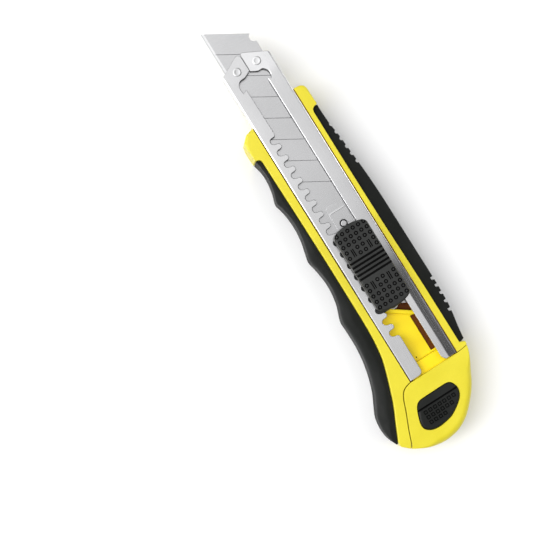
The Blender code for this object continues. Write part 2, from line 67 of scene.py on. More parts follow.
RAIL_HALF = RAIL_BOX[1].x
RAIL_BOTTOM = RAIL_BOX[0].z
RAIL_TOP = 17.2
SHEET = 0.6
SHOULDER_Y, NOSE_Y = 142.3, 147.2
SLOT_LEFT, SLOT_RIGHT = -4.9, 4.7
CROWN_X = 7.4
CROWN_START, CROWN_END = 32, 58
TAB_START, TAB_END = 133.5, 138.5
DIMPLE_X, DIMPLE_Y = 4.6, 141.2
NOTCH_PITCH, NOTCH_FIRST_Y, NOTCH_COUNT = 5.3, 19.9, 18
BED_HALF, BED_BOTTOM, BED_TOP = 10.1, 11.75, 12.35
RIVET_YS = (30.0, 112.0)
STUD_YS = (33.4, 60.6)

BLADE_HALF = BLADE_BOX[1].x
BLADE_TIP_Y = BLADE_BOX[1].y - REAR / MM
BLADE_LENGTH = 95.0
SLANT = math.tan(math.radians(30))
SEGMENT, SEGMENT_COUNT = 10.0, 8
BLADE_HOLE_Y = BLADE_TIP_Y - 94.6

SPINE_SIDE = [
    (16.3, 113.9), (16.6, 105.7), (17.4, 98.7), (18.0, 90.7), (18.7, 80.7), (19.1, 70.7),
    (19.2, 60.7), (19.3, 45.7), (19.4, 30.7), (19.2, 20.7), (18.6, 14.7), (17.6, 8.7), (16.8, 3.0),
]
TAIL_SIDE = [
    (16.6, 1.6), (15.3, -2.9), (12.9, -8.7), (9.8, -14.6), (5.7, -19.8), (0.9, -24.3),
    (-3.9, -26.9), (-9.0, -28.0), (-14.2, -27.8), (-19.2, -26.1), (-24.7, -23.1),
]
FINGER_SIDE = [
    (-28.9, -18.7), (-29.8, -16.2), (-30.3, -13.0), (-30.2, -9.8), (-29.4, -6.0), (-27.6, -2.3),
    (-25.2, 2.7), (-23.2, 8.7), (-21.7, 15.7), (-21.0, 22.7), (-21.0, 29.5), (-21.0, 34.2),
    (-18.9, 40.2), (-17.9, 45.7), (-17.7, 50.7), (-18.4, 56.7), (-19.3, 61.7), (-18.3, 66.2),
    (-17.3, 70.7), (-16.8, 75.7), (-16.9, 80.7), (-17.7, 85.7), (-18.4, 88.7), (-17.2, 92.7),
    (-16.5, 96.2), (-16.2, 99.7), (-16.4, 103.7), (-17.0, 107.0),
]
BACK_PANEL_END = [
    (14.5, 2.3), (11.5, 0.7), (9.5, -1.8), (8.5, -5.2), (7.0, -9.5), (4.0, -14.8), (0.0, -19.0),
    (-4.0, -21.5), (-9.0, -22.8), (-14.0, -22.0), (-19.0, -20.1), (-22.0, -18.5), (-25.0, -18.0),
    (-27.0, -18.9),
]
SHELL_SPINE = [(13.3, 118.0), (13.3, 90.0), (13.5, 60.0), (14.0, 30.0), (14.1, 0.4)]
SHELL_FINGER = [
    (-27.9, -18.0), (-25.0, -11.6), (-22.0, -5.2), (-20.0, 0.0), (-17.3, 8.0), (-15.5, 15.0),
    (-14.5, 25.0), (-14.3, 40.0), (-14.3, 60.0), (-14.5, 80.0), (-14.8, 100.0), (-14.9, 118.0),
]
CAP_SEAM = [
    (-12.0, -0.3), (-14.9, -1.4), (-17.0, -4.0), (-19.4, -10.0), (-21.7, -15.3), (-24.0, -21.2),
    (-25.1, -22.8),
]
SHELL_CORNER = [
    (-24.0, -21.2), (-25.1, -22.8), (-28.0, -20.1), (-27.0, -19.4), (-25.1, -18.4), (-23.3, -18.8),
]
COLLAR = [
    (16.2, 114.3), (16.2, 121.8), (15.6, 123.2), (14.3, 124.0), (12.0, 124.2), (-10.0, 119.5),
    (-14.6, 118.1), (-17.0, 115.9), (-17.4, 113.0), (-17.2, 107.4), (-6.0, 109.6), (6.0, 112.2),
]
BUTTON = [
    (0.5, -8.1), (2.5, -8.8), (3.8, -11.0), (3.8, -13.5), (2.5, -16.0), (-0.5, -18.5), (-4.0, -20.5),
    (-8.0, -21.4), (-11.0, -21.6), (-14.0, -21.0), (-16.2, -19.3), (-16.7, -17.2), (-16.2, -14.8),
    (-15.2, -12.0), (-14.2, -10.0), (-12.8, -8.7), (-10.6, -8.2), (-5.0, -8.1),
]
CAP_HOLLOW = [
    (9.8, 2.0), (9.8, -2.0), (9.9, -8.3), (6.9, -13.0), (3.0, -17.6), (-1.2, -21.6), (-5.0, -23.4),
    (-9.3, -24.4), (-13.6, -24.1), (-18.2, -22.6), (-21.6, -20.4), (-19.4, -15.3), (-16.9, -10.2),
    (-14.4, -4.9), (-12.9, -3.2), (-9.8, -2.6), (-9.8, 2.0),
]
BUTTON_CENTRE = (-6.6, -14.8)
OVAL_CENTRE = (1.6, 58.6)
OVAL_HALF = (8.9, 21.9)


# ---- Outlines ----

def smooth(points, steps=4):
    """A Catmull-Rom curve through the points."""
    padded = [Vector(p) for p in [points[0], *points, points[-1]]]
    found = []
    for a, b, c, d in zip(padded, padded[1:], padded[2:], padded[3:]):
        for i in range(steps):
            t = i / steps
            found.append(tuple(
                b + 0.5 * t * ((c - a) + t * ((2 * a - 5 * b + 4 * c - d) + t * (3 * (b - c) + d - a)))
            ))
    return found + [tuple(points[-1])]


def smooth_loop(points, steps=4):
    """A closed Catmull-Rom curve through the points."""
    looped = [points[-1], *points, points[0], points[1]]
    return smooth(looped, steps)[steps:-steps - 1]


def oval(centre, half, steps=64):
    angles = [2 * math.pi * i / steps for i in range(steps)]
    return [(centre[0] + half[0] * math.cos(a), centre[1] + half[1] * math.sin(a)) for a in angles]


def arc(centre, radius, start, end, steps):
    """Points along a circle, from one angle to another, in degrees."""
    angles = [math.radians(start + (end - start) * i / steps) for i in range(steps + 1)]
    return [(centre[0] + radius * math.cos(a), centre[1] + radius * math.sin(a)) for a in angles]


def grown(points, amount, centre):
    """The outline moved outwards from its centre by an amount."""
    found = []
    for point in points:
        out = Vector(point) - Vector(centre)
        found.append(tuple(Vector(point) + out.normalized() * amount))
    return found


def shifted(points, dx, dy):
    return [(x + dx, y + dy) for x, y in points]


def across(line, y):
    """The x of a line of points at a height y."""
    ordered = sorted(line, key=lambda p: p[1])
    for (x0, y0), (x1, y1) in zip(ordered, ordered[1:]):
        if y <= y1:
            return x0 + (x1 - x0) * max(0.0, (y - y0) / (y1 - y0))
    return ordered[-1][0]


def inward(outline):
    """Unit vectors pointing into a counter-clockwise outline, one for each point."""
    found = []
    for a, b, c in zip(outline[-1:] + outline[:-1], outline, outline[1:] + outline[:1]):
        along = (Vector(b) - Vector(a)).normalized() + (Vector(c) - Vector(b)).normalized()
        found.append(Vector((-along.y, along.x)).normalized())
    return found


def encloses(outline, x, y):
    """Whether the outline goes round the point."""
    crossings = 0
    for (x0, y0), (x1, y1) in zip(outline, outline[1:] + outline[:1]):
        if (y0 > y) != (y1 > y) and x < x0 + (x1 - x0) * (y - y0) / (y1 - y0):
            crossings += 1
    return crossings % 2 == 1


def area(outline):
    return sum(a[0] * b[1] - b[0] * a[1] for a, b in zip(outline, outline[1:] + outline[:1])) / 2


# ---- Solids, as rings of points ----

def flat_rings(outline, z_low, z_high):
    return [[(x, y, z) for x, y in outline] for z in (z_low, z_high)]


def rounded_rings(outline, zs, low, high, steps=5):
    """A plate whose lower and upper edges are rounded, by one radius or by a radius for each point."""
    low = list(low) if hasattr(low, "__len__") else [low] * len(outline)
    high = list(high) if hasattr(high, "__len__") else [high] * len(outline)
    if area(outline) < 0:
        outline, low, high = outline[::-1], low[::-1], high[::-1]
    rings = []
    inside = inward(outline)
    for i in range(steps + 1):
        swing = math.pi / 2 * i / steps
        sunk, raised = 1 - math.sin(swing), 1 - math.cos(swing)
        rings.append([
            (x + n.x * r * sunk, y + n.y * r * sunk, zs[0] + r * raised)
            for (x, y), n, r in zip(outline, inside, low)
        ])
    for i in range(steps + 1):
        swing = math.pi / 2 * i / steps
        sunk, dropped = 1 - math.cos(swing), 1 - math.sin(swing)
        rings.append([
            (x + n.x * r * sunk, y + n.y * r * sunk, zs[1] - r * dropped)
            for (x, y), n, r in zip(outline, inside, high)
        ])
    return rings


def flared_rings(outline, z_low, z_top, radius, steps=4):
    """A cutter that widens at the top, so that it leaves a rounded edge on the sheet it goes through."""
    if area(outline) < 0:
        outline = outline[::-1]
    levels = [(0.0, z_low)]
    for i in range(steps + 1):
        swing = math.pi / 2 * i / steps
        levels.append((radius * (1 - math.cos(swing)), z_top - radius * (1 - math.sin(swing))))
    levels.append((radius, z_top + 1))
    inside = inward(outline)
    return [[(x - n.x * out, y - n.y * out, z) for (x, y), n in zip(outline, inside)] for out, z in levels]


def lathe_rings(centre, profile, steps=24):
    """Circles about an upright axis, from (radius, height) pairs."""
    turns = [2 * math.pi * i / steps for i in range(steps)]
    return [
        [(centre[0] + r * math.cos(a), centre[1] + r * math.sin(a), z) for a in turns]
        for r, z in profile
    ]


def long_rings(profile, y_low, y_high):
    """A profile of (x, z) pairs drawn out along the knife."""
    return [[(x, y, z) for x, z in profile] for y in (y_low, y_high)]


def box_rings(xs, ys, zs):
    return flat_rings([(xs[0], ys[0]), (xs[1], ys[0]), (xs[1], ys[1]), (xs[0], ys[1])], *zs)


def solid(name, *ring_sets, closed=False):
    """One mesh of solids: quads between the rings, and a flat face on each end unless they close."""
    bm = bmesh.new()
    for rings in ring_sets:
        rows = [[bm.verts.new(co) for co in ring] for ring in rings]
        pairs = list(zip(rows, rows[1:])) + ([(rows[-1], rows[0])] if closed else [])
        for lower, upper in pairs:
            for i in range(len(lower)):
                j = (i + 1) % len(lower)
                bm.faces.new((lower[i], lower[j], upper[j], upper[i]))
        if not closed:
            bm.faces.new(rows[0][::-1])
            bm.faces.new(rows[-1])
    bmesh.ops.recalc_face_normals(bm, faces=bm.faces)
    bmesh.ops.scale(bm, verts=bm.verts, vec=(MM, MM, MM))
    bmesh.ops.translate(bm, verts=bm.verts, vec=(0, REAR, 0))
    mesh = bpy.data.meshes.new(name)
    bm.to_mesh(mesh)
    bm.free()
    thing = bpy.data.objects.new(name, mesh)
    bpy.context.scene.collection.objects.link(thing)
    return thing


def settle(thing):
    """Applies the modifiers."""
    graph = bpy.context.evaluated_depsgraph_get()
    mesh = bpy.data.meshes.new_from_object(thing.evaluated_get(graph))
    thing.modifiers.clear()
    thing.data = mesh
    return thing


def combine(thing, operation, tools):
    for tool in tools:
        step = thing.modifiers.new(tool.name, "BOOLEAN")
        step.operation = operation
        step.solver = "EXACT"
        step.object = tool
    settle(thing)
    for tool in tools:
        bpy.data.objects.remove(tool)
    return thing


def cut(thing, *tools):
    return combine(thing, "DIFFERENCE", tools)


def join(thing, *tools):
    return combine(thing, "UNION", tools)


def keep(thing, *tools):
    return combine(thing, "INTERSECT", tools)


def soften(thing, width, angle=60):
    """Rounds the sharp edges, after the flat faces that a Boolean split are whole again."""
    bm = bmesh.new()
    bm.from_mesh(thing.data)
    bmesh.ops.remove_doubles(bm, verts=bm.verts, dist=0.003 * MM)
    bmesh.ops.dissolve_limit(bm, angle_limit=math.radians(0.5), verts=bm.verts, edges=bm.edges)
    bm.to_mesh(thing.data)
    bm.free()
    step = thing.modifiers.new("edge", "BEVEL")
    step.width = width * MM
    step.segments = 2
    step.limit_method = "ANGLE"
    step.angle_limit = math.radians(angle)
    return settle(thing)


def dress(thing, material, slot, body, *nodes, angle=35):
    """Gives a piece its shading, material, body, and the CAD nodes it stands for."""
    thing.data.materials.clear()
    thing.data.materials.append(material)
    thing.data.shade_smooth()
    thing.data.set_sharp_from_angle(angle=math.radians(angle))
    step = thing.modifiers.new("normals", "WEIGHTED_NORMAL")
    step.keep_sharp = True
    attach(thing, body)
    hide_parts(*nodes)
    return thing


def recolour(thing, material, chosen):
    """Gives the faces that a test of their centre picks another material."""
    if material.name not in thing.data.materials:
        thing.data.materials.append(material)
    index = thing.data.materials.find(material.name)
    for face in thing.data.polygons:
        x, y, z = face.center / MM
        if chosen(x, y - REAR / MM, z):
            face.material_index = index


# ---- Materials ----

def new_material(name):
    material = bpy.data.materials.new(name)
    material.use_nodes = True
    return material, material.node_tree.nodes, material.node_tree.links


def set_inputs(shader, **values):
    for name, value in values.items():
        shader.inputs[name.replace("_", " ")].default_value = value


def noise(nodes, links, scale, stretch=(1, 1, 1), detail=3.0):
    """A noise over the piece, in lumps of one over the scale, in metres."""
    place = nodes.new("ShaderNodeTexCoord")
    mapping = nodes.new("ShaderNodeMapping")
    mapping.inputs["Scale"].default_value = stretch
    texture = nodes.new("ShaderNodeTexNoise")
    texture.inputs["Scale"].default_value = scale
    texture.inputs["Detail"].default_value = detail
    links.new(place.outputs["Object"], mapping.inputs["Vector"])
    links.new(mapping.outputs["Vector"], texture.inputs["Vector"])
    return texture.outputs["Fac"]


def ramp(nodes, links, factor, stops):
    """A colour ramp over the factor."""
    node = nodes.new("ShaderNodeValToRGB")
    band = node.color_ramp
    while len(band.elements) < len(stops):
        band.elements.new(0.5)
    for element, (place, colour) in zip(band.elements, stops):
        element.position = place
        element.color = (*colour, 1) if hasattr(colour, "__len__") else (colour,) * 3 + (1,)
    links.new(factor, node.inputs["Fac"])
    return node.outputs["Color"]


def multiply(nodes, links, first, second, share=1.0):
    node = nodes.new("ShaderNodeMix")
    node.data_type = "RGBA"
    node.blend_type = "MULTIPLY"
    node.inputs["Factor"].default_value = share
    links.new(first, node.inputs["A"])
    links.new(second, node.inputs["B"])
    return node.outputs["Result"]


def bump(nodes, links, height, depth, below=None):
    """Bump of a depth in millimetres."""
    node = nodes.new("ShaderNodeBump")
    node.inputs["Strength"].default_value = 1.0
    node.inputs["Distance"].default_value = depth * MM
    links.new(height, node.inputs["Height"])
    if below:
        links.new(below, node.inputs["Normal"])
    return node.outputs["Normal"]


def plastic(name, colours, roughness, grain, depth, specular=0.5):
    """Moulded plastic or rubber: uneven colour, a fine moulded grain, faint scuffs."""
    material, nodes, links = new_material(name)
    shader = nodes["Principled BSDF"]
    set_inputs(shader, Specular_IOR_Level=specular)
    cloudy = noise(nodes, links, 90, detail=4)
    fine = noise(nodes, links, grain, detail=2)
    scuffs = noise(nodes, links, 260, stretch=(1, 0.12, 1), detail=6)
    colour = ramp(nodes, links, cloudy, [(0.35, colours[0]), (0.65, colours[1])])
    speckle = ramp(nodes, links, fine, [(0.3, 0.93), (0.7, 1.0)])
    links.new(multiply(nodes, links, colour, speckle), shader.inputs["Base Color"])
    links.new(
        ramp(nodes, links, scuffs, [(0.35, roughness[0]), (0.7, roughness[1])]),
        shader.inputs["Roughness"],
    )
    links.new(
        bump(nodes, links, scuffs, depth * 0.6, bump(nodes, links, fine, depth)),
        shader.inputs["Normal"],
    )
    return material


def steel(name, tones, roughness, stretch, depth, streaky=0.95):
    """Brushed steel: streaks along the rolling direction over a cloudy tone, with fine scratches."""
    material, nodes, links = new_material(name)
    shader = nodes["Principled BSDF"]
    set_inputs(shader, Metallic=1.0)
    cloudy = noise(nodes, links, 40, detail=4)
    streaks = noise(nodes, links, 1.0, stretch=stretch, detail=4)
    scratches = noise(nodes, links, 1.0, stretch=(stretch[0] * 0.3, stretch[1] * 3, 900), detail=8)
    colour = ramp(nodes, links, cloudy, [(0.3, tones[0]), (0.7, tones[1])])
    brushed = ramp(nodes, links, streaks, [(0.3, streaky), (0.7, 1.0)])
    scratched = ramp(nodes, links, scratches, [(0.62, 1.0), (0.75, 0.9)])
    toned = multiply(nodes, links, colour, brushed)
    links.new(multiply(nodes, links, toned, scratched, 0.5), shader.inputs["Base Color"])
    links.new(
        ramp(nodes, links, streaks, [(0.3, roughness[0]), (0.7, roughness[1])]),
        shader.inputs["Roughness"],
    )
    links.new(bump(nodes, links, streaks, depth), shader.inputs["Normal"])
    return material


SHELL_YELLOW = plastic(
    "shell_yellow", ((0.70, 0.60, 0.024), (0.74, 0.64, 0.032)), (0.30, 0.42), 5200, 0.006
)
# Painted shade: a darker orange for the walls and shelf of the rail's channel in the shell, in place of the
# shade between rail and shell.
GAP_PAINTED_SHADE = plastic("gap_painted_shade", ((0.60, 0.22, 0.010), (0.70, 0.28, 0.014)), (0.4, 0.5), 5200, 0.006)
# Painted shade: dark brown for the tray floor in the loading slot and ahead of the rib, where the rail lips
# and the slider shade it.
BED_PAINTED_SHADE = plastic(
    "bed_painted_shade", ((0.10, 0.025, 0.004), (0.14, 0.04, 0.006)), (0.5, 0.6), 4200, 0.008, 0.2
)
BED_YELLOW = plastic(
    "bed_yellow", ((0.96, 0.72, 0.004), (1.0, 0.80, 0.008)), (0.28, 0.40), 4200, 0.008
)
GRIP_BLACK = plastic(
    "grip_black", ((0.005, 0.006, 0.005), (0.008, 0.009, 0.008)), (0.50, 0.68), 4200, 0.03, 0.25
)
BLACK_PLASTIC = plastic(
    "black_plastic", ((0.018, 0.019, 0.018), (0.024, 0.025, 0.024)), (0.36, 0.48), 4800, 0.015, 0.45
)
BUTTON_BLACK = plastic(
    "button_black", ((0.007, 0.008, 0.007), (0.010, 0.011, 0.010)), (0.42, 0.52), 4800, 0.015, 0.35
)
# Painted shade: near black for the floors of small grooves on the pad, the button and the catch spring.
GROOVE_PAINTED_SHADE = plastic(
    "groove_painted_shade", ((0.001, 0.001, 0.001), (0.003, 0.003, 0.003)), (0.6, 0.7), 4800, 0.01, 0.1
)
ALONG, ACROSS = (6000, 90, 6000), (160, 9000, 900)
RAIL_STEEL = steel("rail_steel", ((0.76, 0.76, 0.77), (0.87, 0.87, 0.88)), (0.20, 0.28), ALONG, 0.0002)
BLADE_STEEL = steel(
    "blade_steel", ((0.67, 0.67, 0.68), (0.74, 0.74, 0.75)), (0.24, 0.28), ACROSS, 0.00004, 0.99
)
HONED_STEEL = steel("honed_steel", ((0.56, 0.56, 0.57), (0.64, 0.64, 0.65)), (0.35, 0.45), ACROSS, 0.0002)
# Darker steel for the blade's score grooves and the rail's cut edges: partly the rougher cut surface,
# partly painted shade.
CUT_STEEL_AND_PAINTED_SHADE = steel("cut_steel_and_painted_shade", ((0.42, 0.42, 0.43), (0.50, 0.50, 0.51)), (0.4, 0.5), ACROSS, 0.0002)
SPRING_STEEL = steel("spring_steel", ((0.68, 0.68, 0.69), (0.80, 0.80, 0.81)), (0.24, 0.34), ALONG, 0.0004)


# ---- Handle ----

def handle_shell():
    """The yellow body: side walls, floor, nose collar and the oval that shows through the grip."""
    heel = [(14.1, 2.7), (15.3, 2.3), (16.4, 1.82), (16.25, 0.5), (14.1, 0.1), (11.7, -0.1)]
    walls = SHELL_SPINE[:-1] + heel + smooth(CAP_SEAM) + [SHELL_CORNER[2]] + smooth(SHELL_FINGER)
    edges = [0.4] * (len(SHELL_SPINE) - 2) + [0.1] * (1 + len(heel) + len(smooth(CAP_SEAM)))
    edges += [0.4] * (len(walls) - len(edges))
    shell = solid("shell", rounded_rings(walls, (GRIP_BACK + FIT, BODY_TOP), 0.1, edges, steps=4))
    floor_end = shifted([p for p in BACK_PANEL_END if p[0] < 13], -0.3, 1.2)
    floor = SHELL_SPINE[:-1] + [(13.9, 3.6)] + smooth(floor_end) + SHELL_FINGER[1:]
    collar_edges = [0.4, 1.4, 1.4, 1.4, 1.2, 1.2, 1.4, 1.4, 0.8, 0.3, 0.2, 0.2]
    spine_fillet = [
        (13.0, 112.0), (13.3, 112.0), (13.45, 112.75), (13.9, 113.35), (14.7, 113.8), (16.0, 114.0),
        (16.0, 115.0), (13.0, 115.0),
    ]
    finger_fillet = [
        (-14.0, 105.3), (-14.8, 105.3), (-15.05, 106.2), (-15.6, 106.85), (-16.9, 107.2),
        (-16.9, 108.5), (-14.0, 108.5),
    ]
    fillet_top = BODY_TOP - 0.04
    join(
        shell,
        solid("fillets", *[
            flat_rings(outline, GRIP_BACK + FIT, fillet_top) for outline in (spine_fillet, finger_fillet)
        ]),
        solid("floor", flat_rings(floor, GRIP_BACK + FIT, SHELL_FLOOR_TOP)),
        solid("corner", flat_rings(SHELL_CORNER, 0.4, SHELL_FLOOR_TOP)),
        solid("collar", rounded_rings(
            COLLAR, (SHELL_BOX[0].z + 0.3, BODY_TOP - 0.02), collar_edges, collar_edges
        )),
        solid("boss", rounded_rings(oval(OVAL_CENTRE, OVAL_HALF), (0.0, SHELL_FLOOR_TOP), 0.6, 0.1)),
    )
    half = RAIL_HALF + 0.3
    cut(
        shell,
        solid("channel", box_rings((-half, half), (-1, 130), (SHELF_Z, 20))),
        solid("latch_pocket", box_rings((-5.3, 5.3), (-2, 10.5), (6.5, 12))),
    )
    dress(shell, SHELL_YELLOW, "shell_yellow", "handle", "handle_shell")
    # Painted shade: the channel's walls and shelf are painted darker orange.
    recolour(shell, GAP_PAINTED_SHADE, lambda x, y, z: abs(x) < half + 0.01 and SHELF_Z < z + 0.1 < BODY_TOP)


def grip_notches():
    """Scallops high on the spine side and square notches low on it."""
    notches = []
    for y in (104.2, 100.5, 97.2, 93.3, 89.9, 86.2):
        x = 16.95 + 1.3 * (104.2 - y) / 18
        notches.append(lathe_rings((x, y), ((0.85, -1), (0.85, 17)), steps=20))
    for y in (30.0, 26.7, 23.2, 19.4, 15.7):
        x = 18.1 if y > 21 else 18.1 - 0.12 * (21 - y)
        notches.append(box_rings((x, x + 3), (y - 0.75, y + 0.75), (-1, 17)))
    return notches


def rubber_grip():
    """The black overmoulding, rounded all round and thin over the shell's back."""
    spine, end, finger = smooth(SPINE_SIDE), smooth(BACK_PANEL_END), smooth(FINGER_SIDE)
    low, high = [], []
    for x, y in spine:
        ramped = 0.3 + 0.4 * min(y - 3, 114 - y)
        low.append(min(2.6, ramped))
        high.append(min(0.9, ramped))
    low += [0.25] * len(end)
    high += [0.25] * len(end)
    for x, y in finger:
        ramped = 0.3 + 0.45 * min(y + 17.7, 107.2 - y)
        wall = across(SHELL_FINGER, y) - FIT - x
        low.append(min(2.6, ramped))
        high.append(max(0.3, min(4.2, ramped, 0.8 * wall)))
    outline = spine + end + finger
    grip = solid("grip", rounded_rings(outline, (0.0, GRIP_TOP), low, high, steps=6))
    inside = [(16.0, 120.0), (16.0, 114.15), (14.8, 113.95), (14.05, 113.5), (13.6, 112.9), (13.45, 112.1)]
    inside += [(x + FIT, y) for x, y in SHELL_SPINE[1:-1]]
    inside += [(14.1 + FIT, 2.9), (17.5, 1.5), (17.5, -32), (-30.0, -32), (-28.4, -18.9)]
    inside += [(x - FIT, y) for x, y in smooth(SHELL_FINGER) if y < 105]
    inside += [(-14.95, 105.3), (-15.2, 106.3), (-15.75, 107.0), (-16.9, 107.35), (-16.9, 120.0)]
    window = (OVAL_HALF[0] + FIT, OVAL_HALF[1] + FIT)
    cut(grip, solid("notches", *grip_notches()))
    cut(
        grip,
        solid("shell_space", flat_rings(inside, GRIP_BACK, 20)),
        solid("window", rounded_rings(oval(OVAL_CENTRE, window), (-1, 5), 0.1, 0.1)),
    )
    dress(grip, GRIP_BLACK, "grip_black", "handle", "rubber_grip")


# ---- Rail ----

def rail_profile(half, z_low, z_high, radius):
    """A box section with rounded corners, as (x, z) points."""
    corners = [
        (half - radius, z_low + radius, 270), (half - radius, z_high - radius, 0),
        (-half + radius, z_high - radius, 90), (-half + radius, z_low + radius, 180),
    ]
    found = []
    for x, z, start in corners:
        found += arc((x, z), radius, start, start + 90, 6)
    return found


def slot_edge():
    """The slot between the lips: rounded hooks along its left, and a wider window behind the nose."""
    right = [(6.0, -1.0), (6.0, 0.0), (5.2, 0.9), (SLOT_RIGHT, 2.0), (SLOT_RIGHT, 132.6), (5.0, 132.8)]
    right += smooth([(6.0, 132.2), (6.6, 133.5), (6.5, 135.5), (5.0, 137.3), (3.0, 137.4), (0.2, 138.9)], 3)
    left = smooth([(-0.2, 139.1), (-3.0, 137.7), (-5.5, 137.4), (-7.0, 135.5), (-6.9, 132.5)], 3)
    left += [(-5.6, 133.2), (-5.1, 133.1)]
    hook = [
        (0.0, 2.5), (-0.2, 1.85), (-0.8, 1.5), (-2.4, 1.35), (-3.1, 0.8), (-3.25, 0.0),
        (-2.9, -0.75), (-1.8, -1.35), (-0.7, -1.5), (-0.2, -1.95),
    ]
    edge = [(0.0, 4.0)]
    for i in reversed(range(NOTCH_COUNT)):
        edge += [(x, y + NOTCH_PITCH * i) for x, y in hook]
    edge = smooth(edge[1:] + [(0.0, -2.8)], 3)
    left += [(SLOT_LEFT + x, NOTCH_FIRST_Y + y) for x, y in edge]
    return right + left + arc((SLOT_LEFT - 2, 2.0), 2.0, 0, -90, 5) + [(-6.9, -1.0)]


def rail():
    """The blade rail: one bent sheet with rolled edges, its lips closing to two tabs at the nose."""
    inner = RAIL_HALF - SHEET
    body = solid("rail", long_rings(rail_profile(RAIL_HALF, RAIL_BOTTOM, RAIL_TOP, 0.7), 0, NOSE_Y))
    footprint = [
        (-RAIL_HALF, 0.01), (RAIL_HALF, 0.01), (RAIL_HALF, SHOULDER_Y - 0.6), (10.2, SHOULDER_Y + 0.2),
        (1.7, NOSE_Y - 0.4), (0.9, NOSE_Y - 0.1), (0.1, NOSE_Y - 0.6), (-0.1, NOSE_Y - 1.2),
        (-1.2, NOSE_Y - 0.3), (-2.2, NOSE_Y - 0.4), (-10.2, SHOULDER_Y + 0.2),
        (-RAIL_HALF, SHOULDER_Y - 0.6),
    ]
    keep(body, solid("footprint", rounded_rings(footprint, (5, RAIL_TOP + 0.01), 0.1, 0.25)))
    hollow = rail_profile(inner, RAIL_BOTTOM + SHEET, RAIL_TOP - SHEET, 0.2)
    above = RAIL_BOTTOM + SHEET + 2
    seam = [(0.1, 136), (0.1, 150), (-0.1, 150), (-0.1, 136)]
    cut(
        body,
        solid("hollow", long_rings(hollow, -2, 160)),
        solid("slot", flared_rings(slot_edge(), above, RAIL_TOP, 0.25)),
        solid("seam", flared_rings(seam, above, RAIL_TOP, 0.2)),
        solid("latch_window", box_rings((-5, 5), (4, 7.5), (RAIL_BOTTOM - 1, RAIL_BOTTOM + SHEET + 1))),
        solid("rivet_holes", *[lathe_rings((0, y), ((1.3, 10), (1.3, 12))) for y in RIVET_YS]),
    )
    dimple = [(1.9, -0.1), (1.75, 0.01), (1.4, 0.06), (1.1, 0.06), (0.85, 0.02), (0.3, 0.01)]
    join(
        body,
        solid("dimples", *[
            lathe_rings((x, DIMPLE_Y), [(r, RAIL_TOP + z) for r, z in dimple])
            for x in (-DIMPLE_X, DIMPLE_X)
        ]),
    )
    bend_lips(body)
    dress(body, RAIL_STEEL, "rail_steel", "handle", "blade_rail")
    # The tabs' and left lip's cut edges get darker steel: partly the rougher sheared edge, partly painted
    # shade.
    recolour(body, CUT_STEEL_AND_PAINTED_SHADE, sheared_and_shaded)


def sheared_and_shaded(x, y, z):
    """Whether a face lies on the cut edge of the tabs or of the left lip; these faces get darker steel,
    partly for the rougher sheared edge, partly as painted shade.
    """
    tabs = y > SHOULDER_Y - 0.5 and math.hypot(abs(x) - DIMPLE_X, y - DIMPLE_Y) > 2.2
    left_lip = -8.3 < x < 0 and 60 < y < 140
    return 16.3 < z < RAIL_TOP - 0.02 and (tabs or left_lip)


def ease(value, start, end):
    """Rises smoothly from 0 to 1 between two values."""
    t = min(1.0, max(0.0, (value - start) / (end - start)))
    return t * t * (3 - 2 * t)


def lip_drop(x, y):
    """How far the pressed lips lie below flat: the right tab leans to the seam, the rear is crowned."""
    tab = 0.055 * (10.2 - x) * ease(y, TAB_START, TAB_END) if 0 < x < 10.2 else 0.0
    x = max(-10.1, min(10.1, x))
    if x < 0:
        crown = 0.06 * max(0.0, SLOT_LEFT - x)
    else:
        crown = 0.06 * max(0.0, CROWN_X - x) + 0.19 * max(0.0, x - CROWN_X)
    return tab + crown * (1 - ease(y, CROWN_START, CROWN_END))


def bend_lips(body):
    """Presses the lips' outer surface to its slightly uneven shape."""
    bm = bmesh.new()
    bm.from_mesh(body.data)
    crown_ys = (CROWN_START, 37, 42, 47, 52, CROWN_END)
    tab_ys = (TAB_START, 135, 136.5, TAB_END)
    planes = [((0, REAR + y * MM, 0), (0, 1, 0)) for y in crown_ys + tab_ys]
    planes += [((x * MM, 0, 0), (1, 0, 0)) for x in (CROWN_X - 0.25, CROWN_X, CROWN_X + 0.25)]
    for place, normal in planes:
        everything = bm.verts[:] + bm.edges[:] + bm.faces[:]
        bmesh.ops.bisect_plane(bm, geom=everything, plane_co=place, plane_no=normal)
    inside_z = RAIL_TOP - SHEET + 0.01
    for vert in bm.verts:
        x, y, z = vert.co.x / MM, (vert.co.y - REAR) / MM, vert.co.z / MM
        if z > inside_z:
            vert.co.z -= lip_drop(x, y) * min(1.0, (z - inside_z) / (RAIL_TOP - inside_z)) * MM
    bm.to_mesh(body.data)
    bm.free()


def nose_guide():
    """The yellow plate in the rail's nose, pointed at its front and ramped at its rear."""
    half = 9.9
    outline = [
        (-half, 131.8), (half, 131.8), (half, 141.8), (8.6, 143.4), (7.6, 145.4), (1.2, 149.2),
        (-1.8, 149.2), (-7.0, 145.2), (-8.0, 142.4), (-half, 140.8),
    ]
    guide = solid("guide", rounded_rings(outline, (BED_BOTTOM, 14.55), 0.25, 0.25, steps=3))
    ramp_cut = [(131.0, 15.0), (131.0, 13.6), (133.9, 15.0)]
    cut(guide, solid("guide_ramp", [[(x, y, z) for y, z in ramp_cut] for x in (-12, 12)]))
    dress(guide, BED_YELLOW, "bed_yellow", "handle", "nose_guide")


